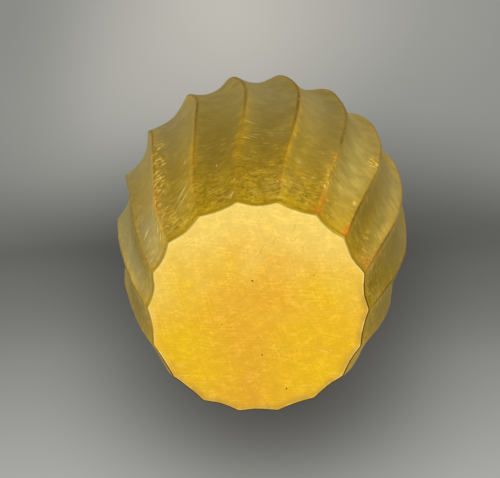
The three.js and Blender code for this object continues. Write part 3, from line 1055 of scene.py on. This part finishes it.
class VASE_OT_base_plate(bpy.types.Operator):
    """Cuts the scalloped base plate, with a filed edge and a fine burr"""

    bl_idname = "vase.base_plate"
    bl_label = "Base plate"

    def execute(self, context):
        shape = context.scene.vase_shape
        columns = across_flutes(COLUMNS)
        growth = math.tan(shape.foot_flare)
        bevel = shape.burr * BEVEL_SHAPE
        heights = np.array([0.0, bevel, PLATE_TOP / 2, PLATE_TOP - shape.seam, PLATE_TOP])
        insets = np.array([shape.burr, 0.0, 0.0, 0.0, shape.seam])
        rows = (shape.foot_radius + heights * growth, heights, np.full(len(heights), growth))
        edge = outside_of(shape, rows, columns, -insets[:, None])
        rings = np.linspace(*PLATE_RINGS)[:, None, None]
        under = edge[:1] * rings
        top = edge[-1:] * rings[::-1]
        under[..., 2] = 0.0
        top[..., 2] = PLATE_TOP
        points = np.concatenate([under, edge, top])
        centres = [((0.0, 0.0, 0.0), False), ((0.0, 0.0, PLATE_TOP), True)]
        mesh = put_mesh("base_plate", points, columns[0], False, centres)
        places = np.zeros(len(mesh.vertices) * 3)
        mesh.vertices.foreach_get("co", places)
        mark_spots(mesh, CLOUDS, places[0::3] / MM, places[1::3] / MM)
        out = np.concatenate([rings, np.ones((len(edge), 1, 1)), rings[::-1]])
        put_attribute(mesh, "out", np.broadcast_to(out[..., 0], points.shape[:2]))
        put_piece("scalloped_base", "base_plate", "base", mesh, SATIN_GOLD)
        return {"FINISHED"}


class VASE_OT_foot_braze(bpy.types.Operator):
    """Runs the solder fillet round the inside corner, a little uneven as it flowed"""

    bl_idname = "vase.foot_braze"
    bl_label = "Foot braze"

    def execute(self, context):
        shape = context.scene.vase_shape
        columns = across_flutes(SOLDER_COLUMNS)
        rows = profile(shape, INSIDE_ROWS)[:, :2]
        wall = inside_of(shape, rows, columns)
        # The legs as they flowed: 0.9 (1 + 0.15 sin(13a) + 0.1 sin(7a)) of their full length
        a = columns[0] * PITCH
        reach = shape.fillet * 0.9 * (1 + 0.15 * np.sin(a * 13) + 0.1 * np.sin(a * 7))
        climb = (wall[1] - wall[0]) * (reach / (rows[1, 1] - rows[1, 0]))[:, None]
        inwards = -wall[0] / np.linalg.norm(wall[0, :, :2], axis=1)[:, None]
        inwards[:, 2] = 0.0
        t = np.linspace(0, 1, SOLDER_STEPS)[:, None, None]
        curve = (1 - t) ** 2 * climb + t ** 2 * inwards * reach[:, None]
        points = np.concatenate([wall[:1], wall[0] + curve])
        points[..., 2] = np.maximum(points[..., 2], PLATE_TOP)
        mesh = put_mesh("foot_braze", points, columns[0])
        put_piece("foot_solder", "foot_braze", "solder", mesh, HARD_SOLDER)
        return {"FINISHED"}


class VASE_OT_rim_wire(bpy.types.Operator):
    """Lays the half-round wire on the top edge of the sheet"""

    bl_idname = "vase.rim_wire"
    bl_label = "Rim wire"

    def execute(self, context):
        shape = context.scene.vase_shape
        columns = across_flutes(COLUMNS)
        top = profile(shape, INSIDE_ROWS)[:, -1:]
        middle = (outside_of(shape, top, columns) + inside_of(shape, top, columns)) / 2
        outwards = middle / np.linalg.norm(middle[..., :2], axis=-1)[..., None]
        outwards[..., 2] = 0.0
        bend = np.linspace(0, np.pi, WIRE_STEPS)[:, None, None]
        points = middle + outwards * np.cos(bend) * shape.wire_width / 2
        points[..., 2:] = WALL_TOP + np.sin(bend) * (WIRE_TOP - WALL_TOP)
        mesh = put_mesh("rim_wire", points, columns[0])
        put_piece("lip_wire", "rim_wire", "body", mesh, OLD_GOLD)
        return {"FINISHED"}


# Stage

def stage_floor(stage):
    """A pale paper floor under the vase. It can't be seen from below, where the
    photograph's camera is, and it throws nothing back at the vase."""
    size = 40.0
    level = -0.0003
    mesh = bpy.data.meshes.new("floor")
    corners = [(-size, -size, level), (size, -size, level), (size, size, level)]
    mesh.from_pydata([*corners, (-size, size, level)], [], [(0, 1, 2, 3)])
    floor = bpy.data.objects.new("floor", mesh)
    bpy.context.scene.collection.objects.link(floor)
    floor.visible_glossy = floor.visible_diffuse = False
    floor.visible_transmission = floor.visible_shadow = False
    material = bpy.data.materials.new("pale paper")
    tree = empty_tree(material)
    paper = field(tree, "ShaderNodeBsdfDiffuse", {"Color": opaque(stage.floor)})
    nothing = field(tree, "ShaderNodeBsdfTransparent")
    below = field(tree, "ShaderNodeNewGeometry", output="Backfacing")
    shown = field(tree, "ShaderNodeMixShader", {0: below, 1: paper, 2: nothing})
    node(tree, "ShaderNodeOutputMaterial", {0: shown})
    mesh.materials.append(material)


def soft_spot(way, centre, reach):
    """A round soft spot in the world's directions: 1 at its centre, 0 at its reach."""
    spot = box_of(way, (*reach, 50.0), centre=(*centre, 0.0))
    return fade(vector_math("LENGTH", spot, output="Value"), 1.0, 0.0)


def stage_world(stage):
    """Plain pale light from all round: white below, a darker horizon where the floor sweeps
    up, and walls that get less light at one side. Overhead, where the photograph's camera
    looks, hangs its grey backdrop: a lit patch with its spill, a dark bend, paper that
    comes forward and gets paler, and the vase's soft shadow, darkest close to the vase.
    Light that falls on dull surfaces is even."""
    world = bpy.data.worlds.new("studio")
    bpy.context.scene.world = world
    tree = empty_tree(world)
    way = field(tree, "ShaderNodeTexCoord", output="Generated")
    x, y, z = parts_of(way)
    back, dark, near = stage.backdrop, stage.bend, stage.near_paper
    # Painted shade and light on the backdrop: a dark bend, and paler paper towards the lens
    tone = ramp_of(y, (
        (0.14, back), (0.235, back), (0.297, dark), (0.325, dark), (0.40, stage.slope),
        (0.52, near), (0.60, near),
    ))
    # The lit patches are painted light; the three soft spots after them are the vase's painted
    # shadow
    lit = soft_spot(way, (-0.048, 0.09), (0.20, 0.20))
    for centre, reach, strength in (
        ((-0.175, 0.19), (0.13, 0.12), 0.30), ((0.12, 0.09), (0.13, 0.15), 0.22),
    ):
        lit = math_of("MULTIPLY_ADD", soft_spot(way, centre, reach), strength, lit)
    tone = mix(lit, tone, stage.glow)
    for centre, reach, strength, shadow in (
        ((-0.005, 0.425), (0.235, 0.17), 0.85, stage.contact),
        ((0.04, 0.30), (0.32, 0.13), 0.6, stage.contact),
        ((-0.017, 0.375), (0.195, 0.155), 0.75, stage.umbra),
    ):
        tone = mix(soft_spot(way, centre, reach) * strength, tone, shadow)
    # Painted light and shade on the backdrop: towards the slope's tone at one side above the bend,
    # and paler at both sides below it
    haze = fade(x, -0.15, -0.26, 0.0, 0.3) * fade(y, 0.312, 0.285)
    tone = mix(haze, tone, stage.slope)
    sides = fade(abs(x + 0.02), 0.11, 0.23, 0.0, 0.11) * fade(y, 0.285, 0.32)
    tone = mix(sides, tone, stage.near_paper)
    framed = fade(soft_spot(way, (-0.03, 0.305), (1.0, 1.0)), 0.45, 0.72)
    framed = framed * math_of("GREATER_THAN", z, 0.0)
    walls = mix(fade(x, -0.45, 0.75), stage.pale, stage.shade)
    walls = mix(fade(z, 0.0, 0.22), stage.horizon, walls)
    pale = mix(fade(z, -0.45, -0.80), walls, (1.0, 1.0, 1.0))
    rays = node(tree, "ShaderNodeLightPath").outputs
    shown = larger(Field(rays["Is Camera Ray"]), Field(rays["Is Glossy Ray"]))
    shown = larger(shown, Field(rays["Is Transmission Ray"]))
    light = mix(shown, stage.fill, mix(framed, pale, tone))
    background = field(tree, "ShaderNodeBackground", {"Color": light, "Strength": 1.0})
    node(tree, "ShaderNodeOutputWorld", {0: background})


def soft_lamp(name, place, aim, size, brightness):
    """A square soft box. Its brightness is the radiance of its face, where 1 is white."""
    data = bpy.data.lights.new(name, "AREA")
    data.shape = "SQUARE"
    data.size = size
    data.energy = brightness * math.pi * size * size
    lamp = bpy.data.objects.new(name, data)
    lamp.location = place
    lamp.rotation_mode = "QUATERNION"
    lamp.rotation_quaternion = (Vector(aim) - Vector(place)).to_track_quat("-Z", "Y")
    lamp.visible_camera = False
    bpy.context.scene.collection.objects.link(lamp)


def stage_camera(stage):
    """The photograph's camera: it looks from below along a line to the aim, with a roll."""
    data = bpy.data.cameras.new("camera")
    data.lens = stage.lens
    data.clip_end = 20
    camera = bpy.data.objects.new("camera", data)
    bpy.context.scene.collection.objects.link(camera)
    place = Vector(stage.camera)
    ahead = (Vector(stage.aim) - place).normalized()
    right = ahead.cross(Vector((0, 0, 1))).normalized()
    up = right.cross(ahead)
    turned_up = up * math.cos(stage.roll) + right * math.sin(stage.roll)
    turned_right = ahead.cross(turned_up)
    axes = Matrix((turned_right, turned_up, -ahead)).transposed()
    camera.matrix_world = Matrix.Translation(place) @ axes.to_4x4()
    bpy.context.scene.camera = camera


class VASE_OT_stage(bpy.types.Operator):
    """Sets up the floor, the backdrop, the soft lamps and the photograph's camera"""

    bl_idname = "vase.stage"
    bl_label = "Stage"

    def execute(self, context):
        stage = context.scene.vase_stage
        stage_camera(stage)
        stage_floor(stage)
        stage_world(stage)
        middle = (0.0, 0.0, 0.08)
        soft_lamp("front_low", (0.1, -0.3, -1.2), middle, 1.2, 0.35)
        soft_lamp("left_high", (-1.1, -0.1, 1.25), middle, 0.8, 0.54)
        soft_lamp("right_high", (0.85, -0.85, 1.15), middle, 0.8, 0.9)
        context.scene.view_settings.view_transform = "Standard"
        return {"FINISHED"}


class VASE_PT_panel(bpy.types.Panel):
    """The vase's sizes, colours and operators"""

    bl_label = "Fluted vase"
    bl_idname = "VASE_PT_panel"
    bl_space_type = "VIEW_3D"
    bl_region_type = "UI"
    bl_category = "Vase"

    def draw(self, context):
        for step in STEPS:
            self.layout.operator(step.bl_idname)
        for group in (context.scene.vase_shape, context.scene.vase_finish):
            box = self.layout.box()
            for name in group.__annotations__:
                box.prop(group, name)


STEPS = (
    VASE_OT_stage, VASE_OT_body, VASE_OT_base_plate, VASE_OT_foot_braze, VASE_OT_rim_wire
)
CLASSES = (VaseShape, VaseFinish, VaseStage, *STEPS, VASE_PT_panel)


def register():
    for item in CLASSES:
        bpy.utils.register_class(item)
    bpy.types.Scene.vase_shape = bpy.props.PointerProperty(type=VaseShape)
    bpy.types.Scene.vase_finish = bpy.props.PointerProperty(type=VaseFinish)
    bpy.types.Scene.vase_stage = bpy.props.PointerProperty(type=VaseStage)


def unregister():
    del bpy.types.Scene.vase_stage
    del bpy.types.Scene.vase_finish
    del bpy.types.Scene.vase_shape
    for item in reversed(CLASSES):
        bpy.utils.unregister_class(item)


def main():
    """Makes the stage and every piece."""
    register()
    bpy.ops.vase.stage()
    bpy.ops.vase.body()
    bpy.ops.vase.base_plate()
    bpy.ops.vase.foot_braze()
    bpy.ops.vase.rim_wire()


if __name__ == "__main__":
    main()
